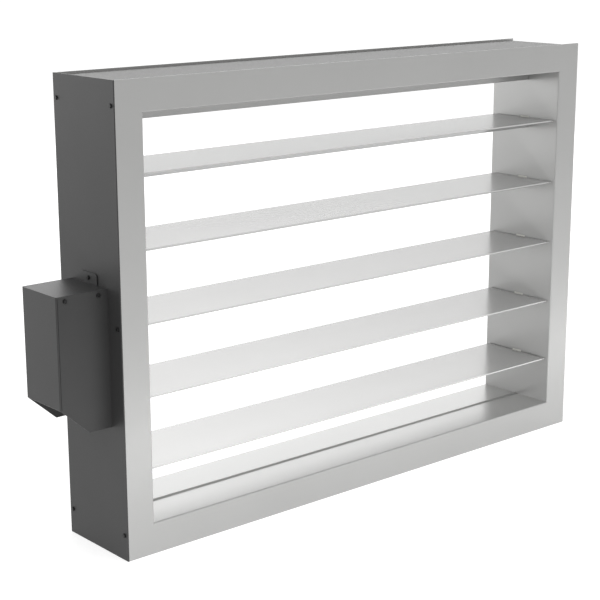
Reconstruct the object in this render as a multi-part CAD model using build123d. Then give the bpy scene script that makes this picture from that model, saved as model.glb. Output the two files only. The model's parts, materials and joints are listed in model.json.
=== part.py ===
from build123d import *
import os
from math import acos, cos, pi, radians, sin, sqrt, tan

# Volume control damper: a folded metal casing with five flat-topped hollow blades, geared together
# behind the side cover so that neighbours turn opposite ways, and an actuator in a box on that side.
# X runs along the blades, Y along the air flow from front to rear, Z up. Millimetres.
# The origin is the bottom centre of the whole object, drive box included.

# ---- duct and casing ----
duct_width = 700.0
duct_height = 480.0
flange_width = 38.0
casing_depth = 122.0
sheet = 1.5
bend_radius = 2.2
return_lip = 13.0
corner_leg = 26.0
corner_sheet = 2.0
corner_edge = 4.0
plate_recess = 3.0
cover_thickness = 1.5

# ---- blades ----
blade_pitch = 86.6
blade_chord = 108.0
blade_end_gap = 1.5
top_skin_height = 6.0
lip_thickness = 1.6
lip_root = 3.2
lap_clearance = 0.6
shoulder_run = 22.0
shoulder_height = -7.6
shoulder_radius = 8.0
blade_belly = 8.5
blade_wall = 1.4
rib_spacing = 24.0

# ---- fillers above and below the blades ----
filler_thickness = 10.0
filler_sheet = 1.2
filler_foot = 12.0
top_tip_clearance = 4.8
top_filler_least = 3.0
bottom_tip_clearance = 3.9
bottom_filler_height = 1.8
bottom_filler_width = 5.0

# ---- blade hubs, bushes and gears ----
journal_diameter = 12.0
running_clearance = 0.06
bush_wall = 2.0
bush_flange_width = 23.0
bush_flange_thickness = 2.0
bush_length = 6.0
hub_cap = 1.4
hub_plug_length = 28.0
hub_plug_clearance = 0.2
gear_square = 8.0
gear_teeth = 25
gear_thickness = 12.0
gear_boss_diameter = 24.0
gear_boss_rise = 2.0
gear_backlash = 0.1
gear_pressure_angle = 20.0
gear_addendum_factor = 0.9
gear_dedendum_factor = 1.15
gear_end_clearance = 0.4

# ---- drive box on the side cover ----
box_end_gap = 3.9
box_side_gap = 8.0
box_headroom = 24.8
box_skirt = 30.7
box_chamfer_rise = 33.0
box_shoulder = 30.0
box_sheet = 1.2
box_bend = 2.0
box_lip = 13.0
box_foot = 11.0
tab_height = 13.0
tab_width = 34.0
tab_corner = 4.3

# ---- actuator ----
actuator_width = 54.0
actuator_above_axis = 26.0
actuator_below_axis = 82.0
actuator_thickness = 44.0
actuator_corner = 7.0
bracket_sheet = 2.0
bracket_width = 26.0
bracket_overhang = 22.0
bracket_gap = 10.5
tongue_depth = 8.0
sleeve_diameter = 21.0
sleeve_clearance = 0.6
clamp_thickness = 11.0
clamp_width = 34.0
clamp_height = 26.0
shaft_overrun = 4.0
button_diameter = 9.0
button_proud = 4.0
button_travel = 3.0
button_clearance = 0.35
gland_diameter = 14.0
gland_length = 14.0

# ---- screws ----
screw_head_width = 5.0
screw_head_height = 1.6
screw_shank_diameter = 2.9
screw_shank_length = 6.0
cover_screw_edge = 6.0
cover_screw_rise = 31.0
cover_screw_drop = 28.0
bracket_screw_spread = 6.5
box_screw_drop = 6.2
box_screw_inset = 11.4
box_screw_near = 12.2
screw_hole_clearance = 0.15

# ---- details of the actuator ----
actuator_edge = 1.5
lid_groove = 1.0
lid_depth = 15.0
tongue_width = 7.0
tongue_clearance = 0.3
tongue_offset = 7.0
button_depth = 8.0
button_y = 14.0
gland_collar = 4.0
gland_mouth = 9.0
gland_bore = 5.0
clamp_corner = 3.0
clamp_gap = 1.0
clamp_bolt_diameter = 5.0
clamp_bolt_spread = 11.5
clamp_nut_radius = 4.6
clamp_nut_height = 4.0
clamp_bolt_overhang = 1.5

# ---- how far a cutting tool runs past what it cuts ----
past = 1.0

# ---- sizes that follow ----
frame_width = duct_width + 2 * flange_width
frame_height = duct_height + 2 * flange_width
clamp_depth = bracket_sheet + actuator_thickness + clamp_gap + clamp_thickness
box_projection = clamp_depth + shaft_overrun + box_end_gap + box_sheet
box_width = actuator_width + 2 * (box_side_gap + box_sheet)
left = box_projection - (frame_width + box_projection) / 2
right = left + frame_width
front = -casing_depth / 2
rear = casing_depth / 2
wall_left = left + flange_width
wall_right = right - flange_width
sill = flange_width
soffit = frame_height - flange_width
cover_inner = left + cover_thickness
half_chord = blade_chord / 2
lap = blade_chord - blade_pitch
body_half = half_chord - lap - lap_clearance
blade_left = wall_left + blade_end_gap
blade_right = wall_right - blade_end_gap
tip_radius = sqrt(half_chord ** 2 + top_skin_height ** 2)
bottom_gap = bottom_filler_height + bottom_tip_clearance + tip_radius
least_top_gap = tip_radius + top_tip_clearance + top_filler_least
blade_count = 1 + int((duct_height - bottom_gap - least_top_gap) / blade_pitch)
axis_heights = [sill + bottom_gap + blade_pitch * i for i in range(blade_count)]
drive_index = blade_count // 2
drive_axis = axis_heights[drive_index]
bush_bore = journal_diameter + 2 * running_clearance
bush_width = bush_bore + 2 * bush_wall
channel_left = wall_left - sheet
channel_right = wall_right + sheet
bush_end_left = wall_left - bush_length
gear_right = bush_end_left - gear_end_clearance
gear_left = gear_right - gear_thickness
box_front = -box_width / 2
box_rear = box_width / 2
box_outer = left - box_projection
housing_back = left - bracket_sheet
housing_face = housing_back - actuator_thickness
housing_top = drive_axis + actuator_above_axis
housing_bottom = drive_axis - actuator_below_axis
box_top_height = housing_top + box_headroom
box_low = housing_bottom - box_skirt
lid_seam = housing_face + lid_depth
tongue_x = housing_back - tongue_offset
button_x = (housing_face + tongue_x) / 2
clamp_face = left - clamp_depth
clamp_middle = clamp_face + clamp_thickness / 2

os.makedirs("parts", exist_ok=True)


def save(name, *solids):
    """Write one node, made of one or more separate solids."""
    shape = solids[0] if len(solids) == 1 else Compound(children=list(solids))
    export_step(shape, f"parts/{name}.step")


def block(x0, x1, y0, y1, z0, z1):
    """A box between two corners."""
    return Pos((x0 + x1) / 2, (y0 + y1) / 2, (z0 + z1) / 2) * Box(x1 - x0, y1 - y0, z1 - z0)


def rod(x0, x1, y, z, diameter):
    """A round bar along X."""
    return Pos((x0 + x1) / 2, y, z) * Rot(0, 90, 0) * Cylinder(diameter / 2, x1 - x0)


def bar(x0, x1, z, width):
    """A square bar along X at mid depth."""
    return block(x0, x1, -width / 2, width / 2, z - width / 2, z + width / 2)


def along_x(section, x0, x1):
    """Extrude a section whose sketch axes are row Y and Z, from x0 to x1."""
    plane = Plane(origin=(x0, 0, 0), x_dir=(0, 1, 0), z_dir=(1, 0, 0))
    return extrude(plane * section, amount=x1 - x0)


def along_y(section, y0, y1):
    """Extrude a section whose sketch axes are row X and Z, from y0 to y1."""
    plane = Plane(origin=(0, y1, 0), x_dir=(1, 0, 0), z_dir=(0, -1, 0))
    return extrude(plane * section, amount=y1 - y0)


def polygon(*points):
    """A closed face through the points."""
    return make_face(Polyline(*points, close=True))


def rounded(face, radius, *corners):
    """Fillet the corners of a face that lie at the given points."""
    near = [v for v in face.vertices() if any((v - Vertex(*c, 0)).center().length < 1e-4 for c in corners)]
    return fillet(near, radius)


# ---- casing: four mitred channels, flanges outwards ----
def channel_section():
    """Section of a casing channel: web at height 0, flanges up to the flange width, bends rounded."""
    outer = polygon((front, 0), (rear, 0), (rear, flange_width), (front, flange_width))
    outer = rounded(outer, bend_radius, (front, 0), (rear, 0))
    hollow = polygon((front + sheet, sheet), (rear - sheet, sheet),
                     (rear - sheet, flange_width + past), (front + sheet, flange_width + past))
    hollow = rounded(hollow, bend_radius - sheet, (front + sheet, sheet), (rear - sheet, sheet))
    return outer - hollow


def mitred(channel, *outline):
    """Trim a channel to its mitred outline, drawn in X and Z."""
    return channel & along_y(polygon(*outline), front - past, rear + past)


def casing():
    section = channel_section()
    up = along_x(section, cover_inner, right)
    top = Pos(0, 0, soffit) * up
    bottom = Pos(0, 0, sill) * mirror(up, Plane.XY)
    side = along_x(section, 0, frame_height)
    drive = Pos(wall_left, 0, 0) * Rot(0, -90, 0) * side
    idle = Pos(wall_right, 0, frame_height) * Rot(0, 90, 0) * side
    corner = cover_thickness
    top = mitred(top, (wall_left, soffit), (wall_right, soffit), (right, frame_height),
                 (cover_inner, frame_height), (cover_inner, frame_height - corner))
    bottom = mitred(bottom, (wall_left, sill), (cover_inner, corner), (cover_inner, 0),
                    (right, 0), (wall_right, sill))
    drive = mitred(drive, (wall_left, sill), (wall_left, soffit),
                   (cover_inner, frame_height - corner), (cover_inner, corner))
    end = plate_recess + 2 * sheet
    for y0, y1 in ((front + sheet, front + return_lip), (rear - return_lip, rear - sheet)):
        drive += block(cover_inner, cover_inner + sheet, y0, y1, end, frame_height - end)
    for place in cover_screw_places():
        drive -= screw_hole(place, (-1, 0, 0))
    idle = mitred(idle, (wall_right, sill), (right, 0), (right, frame_height), (wall_right, soffit))
    for z in axis_heights:
        drive -= bar(channel_left - past, wall_left + past, z, bush_width)
        idle -= bar(wall_right - past, channel_right + past, z, bush_width)
    save("top_rail", top)
    save("bottom_rail", bottom)
    save("drive_side_stile", drive)
    save("idle_side_stile", idle)


def closing_plates():
    """Plates that close the backs of the channels, set in below the flange edges."""
    y0 = front + sheet
    y1 = rear - sheet
    end = right - plate_recess
    top = frame_height - plate_recess
    save("top_closing_plate", block(cover_inner, end, y0, y1, top - sheet, top))
    save("bottom_closing_plate", block(cover_inner, end, y0, y1, plate_recess, plate_recess + sheet))
    save("idle_closing_plate", block(end - sheet, end, y0, y1, plate_recess + sheet, top - sheet))


def corner_angle(x, z, out_x, out_z):
    """Angle behind two webs that meet at x and z; out_x and out_z point away from the duct."""
    half = casing_depth / 2 - sheet - bend_radius - corner_edge
    web_x = x + out_x * sheet
    web_z = z + out_z * sheet
    far_x = web_x + out_x * corner_sheet
    far_z = web_z + out_z * corner_sheet
    end_x = x - out_x * corner_leg
    end_z = z - out_z * corner_leg
    flat = polygon((far_x, far_z), (end_x, far_z), (end_x, web_z),
                   (web_x, web_z), (web_x, end_z), (far_x, end_z))
    return along_y(flat, -half, half)


def corner_angles():
    corners = [(x, z, out_x, out_z) for x, out_x in ((wall_left, -1), (wall_right, 1))
               for z, out_z in ((sill, -1), (soffit, 1))]
    save("corner_angles", *[corner_angle(*corner) for corner in corners])


# ---- blades ----
def blade_outline():
    """Flat top with thin lips that lap the next blade, and a rounded box below between them."""
    top = top_skin_height
    knee = top - lip_root
    edge = top - lip_thickness
    lips = polygon((-body_half, top), (-body_half, knee), (-half_chord, edge), (-half_chord, top),
                   (half_chord, top), (half_chord, edge), (body_half, knee), (body_half, top))
    return lips + blade_box()


def blade_box():
    """The closed box under the blade's top skin."""
    top = top_skin_height
    knee = top - lip_root
    shoulder = body_half - shoulder_run
    sides = Polyline((-shoulder, shoulder_height), (-body_half, knee), (-body_half, top),
                     (body_half, top), (body_half, knee), (shoulder, shoulder_height))
    belly = ThreePointArc((shoulder, shoulder_height), (0, -blade_belly), (-shoulder, shoulder_height))
    box = make_face(sides + belly)
    return rounded(box, shoulder_radius, (-shoulder, shoulder_height), (shoulder, shoulder_height))


def blade_hollows():
    """The box's inside, divided by two ribs into three hollows."""
    hollow = offset(blade_box(), -blade_wall, kind=Kind.INTERSECTION)
    for side in (-1, 1):
        hollow -= Pos(side * rib_spacing / 2, 0) * Rectangle(blade_wall, blade_chord)
    return hollow


def pocket():
    """The blade's middle hollow, which takes the hub's plug."""
    return blade_hollows() & Rectangle(rib_spacing - blade_wall, blade_chord)


def blades():
    section = blade_outline() - blade_hollows()
    for i, z in enumerate(axis_heights):
        save(f"blade_{i + 1}", Pos(0, 0, z) * along_x(section, blade_left + hub_cap, blade_right - hub_cap))


def hubs():
    """Moulded blade ends: a cap over the section, a plug in its middle hollow and a journal."""
    face = blade_outline()
    plug_face = offset(pocket(), -hub_plug_clearance)
    for i, z in enumerate(axis_heights):
        square_end = gear_left
        if i == drive_index:
            square_end = (gear_left + gear_right) / 2
        cap = along_x(face, blade_left, blade_left + hub_cap)
        plug = along_x(plug_face, blade_left + hub_cap, blade_left + hub_cap + hub_plug_length)
        journal = rod(gear_right, blade_left, 0, 0, journal_diameter)
        square = block(square_end, gear_right, -gear_square / 2, gear_square / 2,
                       -gear_square / 2, gear_square / 2)
        save(f"drive_hub_{i + 1}", Pos(0, 0, z) * (cap + plug + journal + square))
        cap = along_x(face, blade_right - hub_cap, blade_right)
        plug = along_x(plug_face, blade_right - hub_cap - hub_plug_length, blade_right - hub_cap)
        journal = rod(blade_right, wall_right + bush_length, 0, 0, journal_diameter)
        save(f"idle_hub_{i + 1}", Pos(0, 0, z) * (cap + plug + journal))


# ---- bushes ----
def bush(mouth, inward, z, wall):
    """Square flanged bush in a wall: flush with its near face at mouth, flange behind it."""
    seat = mouth + inward * wall
    tail = mouth + inward * bush_length
    body = bar(min(mouth, tail), max(mouth, tail), z, bush_width)
    brim = seat + inward * bush_flange_thickness
    body += bar(min(seat, brim), max(seat, brim), z, bush_flange_width)
    return body - rod(min(mouth, tail) - past, max(mouth, tail) + past, 0, z, bush_bore)


def bushes():
    save("drive_side_bushes", *[bush(wall_left, -1, z, sheet) for z in axis_heights])
    save("idle_side_bushes", *[bush(wall_right, 1, z, sheet) for z in axis_heights])


# ---- gears ----
def gear_section():
    """Spur gear outline, involute at tooth root and tip, with one tooth at the top to mesh at the pitch."""
    module = blade_pitch / gear_teeth
    pitch_r = blade_pitch / 2
    base_r = pitch_r * cos(radians(gear_pressure_angle))
    tip_r = pitch_r + gear_addendum_factor * module
    root_r = pitch_r - gear_dedendum_factor * module

    def roll(radius):
        angle = acos(min(1.0, base_r / radius))
        return tan(angle) - angle

    half_tooth = pi / (2 * gear_teeth) - gear_backlash / (2 * pitch_r)

    def flank(radius, side, turn):
        angle = turn + side * (half_tooth + roll(pitch_r) - roll(max(radius, base_r)))
        return (radius * sin(angle), radius * cos(angle))

    outline = []
    for i in range(gear_teeth):
        turn = 2 * pi * i / gear_teeth
        outline += [flank(root_r, -1, turn), flank(tip_r, -1, turn)]
        outline += [flank(tip_r, 1, turn), flank(root_r, 1, turn)]
    return polygon(*outline)


def gears():
    toothed = along_x(gear_section(), gear_left, gear_right - gear_boss_rise)
    blank = toothed + rod(gear_left, gear_right, 0, 0, gear_boss_diameter)
    blank -= bar(gear_left - past, gear_right + past, 0, gear_square)
    for i, z in enumerate(axis_heights):
        save(f"gear_{i + 1}", Pos(0, 0, z) * blank)


# ---- fillers ----
def fillers():
    """A folded strip above the shut blades and a low bead below them, both at mid depth."""
    y = filler_thickness / 2
    low = axis_heights[-1] + tip_radius + top_tip_clearance
    outer = polygon((-y, low), (y, low), (y, soffit), (-y, soffit))
    inner = polygon((filler_sheet - y, low + filler_sheet), (y - filler_sheet, low + filler_sheet),
                    (y - filler_sheet, soffit), (filler_sheet - y, soffit))
    feet = polygon((-y - filler_foot, soffit - filler_sheet), (y + filler_foot, soffit - filler_sheet),
                   (y + filler_foot, soffit), (-y - filler_foot, soffit))
    save("top_filler_strip", along_x(outer + feet - inner, wall_left, wall_right))
    half = bottom_filler_width / 2
    crown = ThreePointArc((-half, sill), (0, sill + bottom_filler_height), (half, sill))
    bead = make_face(crown + Line((half, sill), (-half, sill)))
    save("bottom_filler_strip", along_x(bead, wall_left, wall_right))


# ---- screws ----
def screw(place, direction):
    """Hexagon head screw seated at a place, its head on the side that direction points to."""
    head = extrude(RegularPolygon(screw_head_width / 2, 6, major_radius=False), amount=screw_head_height)
    behind = (Align.CENTER, Align.CENTER, Align.MAX)
    shank = Cylinder(screw_shank_diameter / 2, screw_shank_length, align=behind)
    return Plane(origin=place, z_dir=direction) * (head + shank)


def screw_hole(place, direction):
    """Clearance hole for a screw, through whatever lies within the shank's length."""
    hole = Cylinder(screw_shank_diameter / 2 + screw_hole_clearance, 2 * (screw_shank_length + past))
    return Plane(origin=place, z_dir=direction) * hole


def cover_screw_places():
    heights = (cover_screw_rise, frame_height / 2, frame_height - cover_screw_drop)
    return [(left, y, z) for y in (front + cover_screw_edge, rear - cover_screw_edge) for z in heights]


# ---- side cover ----
def side_cover():
    """Flat cover over the gears, flush with the flange edges, with a bush for the drive shaft."""
    cover = block(left, cover_inner, front, rear, 0, frame_height)
    cover -= bar(left - past, cover_inner + past, drive_axis, bush_width)
    for place in cover_screw_places() + [tab_screw_place()] + bracket_screw_places():
        cover -= screw_hole(place, (-1, 0, 0))
    save("side_cover", cover)
    save("cover_screws", *[screw(place, (-1, 0, 0)) for place in cover_screw_places()])
    save("shaft_bush", bush(left, 1, drive_axis, cover_thickness))


# ---- drive box ----
def tab_screw_place():
    return (left - box_sheet, 0, box_top_height + tab_height / 2)


def box_screw_places(side):
    """Two screws near the top of the front (-1) or rear (1) cheek."""
    y = side * box_width / 2
    z = box_top_height - box_screw_drop
    return [(x, y, z) for x in (left - box_screw_near, box_outer + box_screw_inset)]


def box_shell():
    """Outer face and two cheeks folded from one sheet, open below, cheeks cut off at the outer corner."""
    top = box_top_height - box_sheet
    outer = polygon((left, box_front), (left, box_rear), (box_outer, box_rear), (box_outer, box_front))
    outer = rounded(outer, box_bend, (box_outer, box_rear), (box_outer, box_front))
    inner_x = box_outer + box_sheet
    inner = polygon((left + past, box_front + box_sheet), (left + past, box_rear - box_sheet),
                    (inner_x, box_rear - box_sheet), (inner_x, box_front + box_sheet))
    inner = rounded(inner, box_bend - box_sheet, (inner_x, box_rear - box_sheet),
                    (inner_x, box_front + box_sheet))
    shell = Pos(0, 0, box_low) * extrude(outer - inner, amount=top - box_low)
    profile = polygon((left, box_low), (left, top), (box_outer, top), (box_outer, box_low + box_chamfer_rise),
                      (left - box_shoulder, box_low))
    shell &= along_y(profile, box_front - past, box_rear + past)
    for side in (-1, 1):
        y = side * (box_width / 2 - box_sheet)
        foot = block(left - box_sheet, left, min(y, y - side * box_foot), max(y, y - side * box_foot),
                     box_low, housing_bottom - box_foot)
        shell += foot
        for place in box_screw_places(side):
            shell -= screw_hole(place, (0, side, 0))
    return shell


def box_top():
    """Top panel with lips turned down inside the cheeks and a tab turned up against the cover."""
    plan = polygon((left, box_front), (left, box_rear), (box_outer, box_rear), (box_outer, box_front))
    plan = rounded(plan, box_bend, (box_outer, box_rear), (box_outer, box_front))
    panel = Pos(0, 0, box_top_height - box_sheet) * extrude(plan, amount=box_sheet)
    lip_end = box_outer + box_bend + box_sheet
    for side in (-1, 1):
        y = side * (box_width / 2 - box_sheet)
        panel += block(lip_end, left - box_sheet, min(y, y - side * box_sheet), max(y, y - side * box_sheet),
                       box_top_height - box_lip, box_top_height - box_sheet)
        for place in box_screw_places(side):
            panel -= screw_hole(place, (0, side, 0))
    tab = polygon((-tab_width / 2, box_top_height - box_sheet), (tab_width / 2, box_top_height - box_sheet),
                  (tab_width / 2, box_top_height + tab_height), (-tab_width / 2, box_top_height + tab_height))
    tab = rounded(tab, tab_corner, (tab_width / 2, box_top_height + tab_height),
                  (-tab_width / 2, box_top_height + tab_height))
    panel += along_x(tab, left - box_sheet, left)
    return panel - screw_hole(tab_screw_place(), (-1, 0, 0))


def drive_box():
    save("drive_box_shell", box_shell())
    save("drive_box_top", box_top())
    screws = [screw(place, (0, side, 0)) for side in (-1, 1) for place in box_screw_places(side)]
    save("drive_box_screws", *screws, screw(tab_screw_place(), (-1, 0, 0)))


# ---- actuator ----
def shaft():
    """Drive shaft from the middle gear's outer half, through the cover, to past the actuator's clamp."""
    body = rod(clamp_face - shaft_overrun, gear_left, 0, drive_axis, journal_diameter)
    half = gear_square / 2
    body += block(gear_left, (gear_left + gear_right) / 2, -half, half, drive_axis - half, drive_axis + half)
    save("drive_shaft", body)


def housing():
    """Actuator case: rounded body with a stepped lid line, a through hole for the clamp's sleeve and
    pockets below for the bracket's tongue and the release button."""
    half = actuator_width / 2
    body = block(housing_face, housing_back, -half, half, housing_bottom, housing_top)
    body = fillet(body.edges().filter_by(Axis.X), actuator_corner)
    outer_face = body.faces().sort_by(Axis.X)[0]
    body = chamfer(outer_face.edges(), actuator_edge)
    seam = block(lid_seam - lid_groove, lid_seam, -half - past, half + past,
                 housing_bottom - past, housing_top + past)
    core = block(lid_seam - lid_groove, lid_seam, lid_groove - half, half - lid_groove,
                 housing_bottom + lid_groove, housing_top - lid_groove)
    core = fillet(core.edges().filter_by(Axis.X), actuator_corner - lid_groove)
    body -= seam - core
    bore = sleeve_diameter + 2 * sleeve_clearance
    body -= rod(housing_face - past, housing_back + past, 0, drive_axis, bore)
    slot = tongue_width / 2 + tongue_clearance
    body -= block(tongue_x - bracket_sheet - tongue_clearance, tongue_x + tongue_clearance, -slot, slot,
                  housing_bottom - past, housing_bottom + tongue_depth + tongue_clearance)
    pocket_top = housing_bottom + button_depth + button_travel + button_clearance
    well = Cylinder(button_diameter / 2 + button_clearance, pocket_top - housing_bottom + past,
                    align=(Align.CENTER, Align.CENTER, Align.MAX))
    return body - Pos(button_x, button_y, pocket_top) * well


def clamp():
    """Sleeve through the case and a split block on its end that grips the shaft."""
    body = rod(clamp_face, housing_back - sleeve_clearance, 0, drive_axis, sleeve_diameter)
    jaw = block(clamp_face, clamp_face + clamp_thickness, -clamp_width / 2, clamp_width / 2,
                drive_axis - clamp_height / 2, drive_axis + clamp_height / 2)
    body += fillet(jaw.edges().filter_by(Axis.X), clamp_corner)
    body -= rod(clamp_face - past, housing_back + past, 0, drive_axis, journal_diameter)
    for y in (-clamp_bolt_spread, clamp_bolt_spread):
        hole = Cylinder(clamp_bolt_diameter / 2 + screw_hole_clearance, clamp_height + 2 * past)
        body -= Pos(clamp_middle, y, drive_axis) * hole
    return body


def clamp_bolts():
    """Two bolts across the clamp block, heads up, with hexagon nuts below."""
    low = clamp_height / 2 + clamp_nut_height
    hexagon = RegularPolygon(clamp_nut_radius, 6)
    solids = []
    for y in (-clamp_bolt_spread, clamp_bolt_spread):
        bolt = Pos(0, 0, clamp_height / 2) * extrude(hexagon, amount=clamp_nut_height)
        bolt += Pos(0, 0, -low) * extrude(hexagon, amount=clamp_nut_height)
        shank = Cylinder(clamp_bolt_diameter / 2, clamp_height + clamp_nut_height + clamp_bolt_overhang,
                         align=(Align.CENTER, Align.CENTER, Align.MAX))
        bolt += Pos(0, 0, clamp_height / 2) * shank
        solids.append(Pos(clamp_middle, y, drive_axis) * bolt)
    return solids


def bracket_screw_places():
    low = housing_bottom - bracket_overhang / 2
    return [(housing_back, y, low) for y in (-bracket_screw_spread, bracket_screw_spread)]


def bracket():
    """Plate behind the case that keeps it from turning: its tongue is folded out into the case's slot."""
    high = drive_axis - sleeve_diameter / 2 - bracket_gap
    low = housing_bottom - bracket_overhang
    plate = block(housing_back, left, -bracket_width / 2, bracket_width / 2, low, high)
    arm_z = housing_bottom - bracket_sheet - tongue_clearance
    plate += block(tongue_x - bracket_sheet, housing_back, -tongue_width / 2, tongue_width / 2,
                   arm_z - bracket_sheet, arm_z)
    plate += block(tongue_x - bracket_sheet, tongue_x, -tongue_width / 2, tongue_width / 2,
                   arm_z - bracket_sheet, housing_bottom + tongue_depth)
    for place in bracket_screw_places():
        plate -= screw_hole(place, (-1, 0, 0))
    return plate


def release_button():
    """Plain button that stands out of the case's lower end."""
    hang = (Align.CENTER, Align.CENTER, Align.MAX)
    body = Cylinder(button_diameter / 2, button_depth + button_proud, align=hang)
    return Pos(button_x, button_y, housing_bottom + button_depth) * body


def cable_gland():
    """Hexagon collar and round nozzle on the case's lower end, blank at its mouth."""
    hang = (Align.CENTER, Align.CENTER, Align.MAX)
    collar = extrude(RegularPolygon(gland_diameter / 2, 6), amount=-gland_collar)
    body = collar + Cylinder(gland_mouth / 2, gland_length, align=hang)
    body -= Pos(0, 0, -gland_length) * Cylinder(gland_bore / 2, gland_length)
    return Pos(button_x, -button_y, housing_bottom) * body


def actuator():
    shaft()
    save("actuator_case", housing())
    save("actuator_clamp", clamp())
    save("clamp_bolts", *clamp_bolts())
    save("actuator_bracket", bracket())
    save("bracket_screws", *[screw(place, (-1, 0, 0)) for place in bracket_screw_places()])
    save("release_button", release_button())
    save("cable_gland", cable_gland())


casing()
closing_plates()
corner_angles()
blades()
hubs()
bushes()
gears()
fillers()
side_cover()
drive_box()
actuator()
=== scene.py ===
"""Dresses a volume control damper, part by part.

The damper is a folded sheet casing with five geared blades. A dark side cover closes the gear
side, and a drive box on that cover holds the actuator. Sizes in the classes are millimetres, but
the studio's floor and lamps are given in metres. Meshes are in metres, in the frame of the solids.
"""

import json
import logging
from collections.abc import Callable, Sequence
from dataclasses import dataclass
from enum import Enum
from math import cos, pi, radians, sin, sqrt

import bmesh
import bpy
from mathutils import Matrix, Vector


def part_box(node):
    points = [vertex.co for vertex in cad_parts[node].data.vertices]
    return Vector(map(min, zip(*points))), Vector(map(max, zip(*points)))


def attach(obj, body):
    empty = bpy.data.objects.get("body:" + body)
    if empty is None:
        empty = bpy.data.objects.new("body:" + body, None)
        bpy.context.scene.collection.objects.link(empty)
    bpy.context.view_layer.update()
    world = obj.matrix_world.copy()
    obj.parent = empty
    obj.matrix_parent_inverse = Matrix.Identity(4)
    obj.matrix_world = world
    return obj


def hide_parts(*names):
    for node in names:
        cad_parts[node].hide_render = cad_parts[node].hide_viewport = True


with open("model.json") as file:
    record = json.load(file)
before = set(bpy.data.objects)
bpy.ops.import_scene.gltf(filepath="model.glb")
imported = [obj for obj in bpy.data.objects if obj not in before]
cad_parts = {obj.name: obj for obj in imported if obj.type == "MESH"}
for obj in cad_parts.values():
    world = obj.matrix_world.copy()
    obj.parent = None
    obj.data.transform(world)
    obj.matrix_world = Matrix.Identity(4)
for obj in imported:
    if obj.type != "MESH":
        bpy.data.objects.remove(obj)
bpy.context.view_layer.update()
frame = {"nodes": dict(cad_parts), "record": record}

MM = 0.001
# Corners of a solid's mesh that are closer than this, in metres, are one corner.
WELD = 1e-6
# Faces that meet at less than FLAT are one flat face. An edge turned by more than FOLD gets broken.
FLAT = radians(0.5)
FOLD = radians(38)
# A mesh made here is shaded smooth where its faces meet at less than this.
SMOOTH = radians(32)
# A finish with this share of metal or more keeps the default refraction.
METAL_SHARE = 0.5
# Nearly all the values of a noise lie between these two.
NOISE_LOW = 0.3
NOISE_HIGH = 0.7
# How many points the rings of a turned piece have, on small pieces and on larger ones.
SMALL_RING = 24
LARGE_RING = 48
# How many faces a broken edge has across it.
EDGE_STEPS = 2
log = logging.getLogger("damper")


# ---- small helpers ----
def linear(hex_colour: str) -> tuple[float, float, float, float]:
    """Turn an sRGB colour into the linear one that shaders take.

    Args:
        hex_colour: Six hexadecimal digits, with or without a leading hash sign.

    Returns:
        Linear red, green and blue, and an alpha of 1.
    """
    digits = hex_colour.lstrip("#")
    channels = [int(digits[i:i + 2], 16) / 255 for i in (0, 2, 4)]
    red, green, blue = [c / 12.92 if c <= 0.04045 else ((c + 0.055) / 1.055) ** 2.4 for c in channels]
    return red, green, blue, 1.0


def add_node(
    tree: bpy.types.NodeTree,
    kind: str,
    settings: dict[str, object] | None = None,
    inputs: dict[str | int, object] | None = None,
) -> bpy.types.Node:
    """Add a node with its settings, and fill its inputs.

    Args:
        tree: The tree that the node goes into.
        kind: The node's type name.
        settings: Properties of the node itself.
        inputs: A constant or another node's output socket for each input, by name or place.

    Returns:
        The new node.
    """
    node = tree.nodes.new(kind)
    for name, value in (settings or {}).items():
        setattr(node, name, value)
    for name, value in (inputs or {}).items():
        if isinstance(value, bpy.types.NodeSocket):
            tree.links.new(value, node.inputs[name])
        else:
            node.inputs[name].default_value = value
    return node


# ---- finishes ----
class Grain(Enum):
    """The way a surface's marks run, as how much longer they are along X, Y and Z."""

    EVEN = (1.0, 1.0, 1.0)
    ALONG_BLADES = (60.0, 1.0, 1.0)


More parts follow.
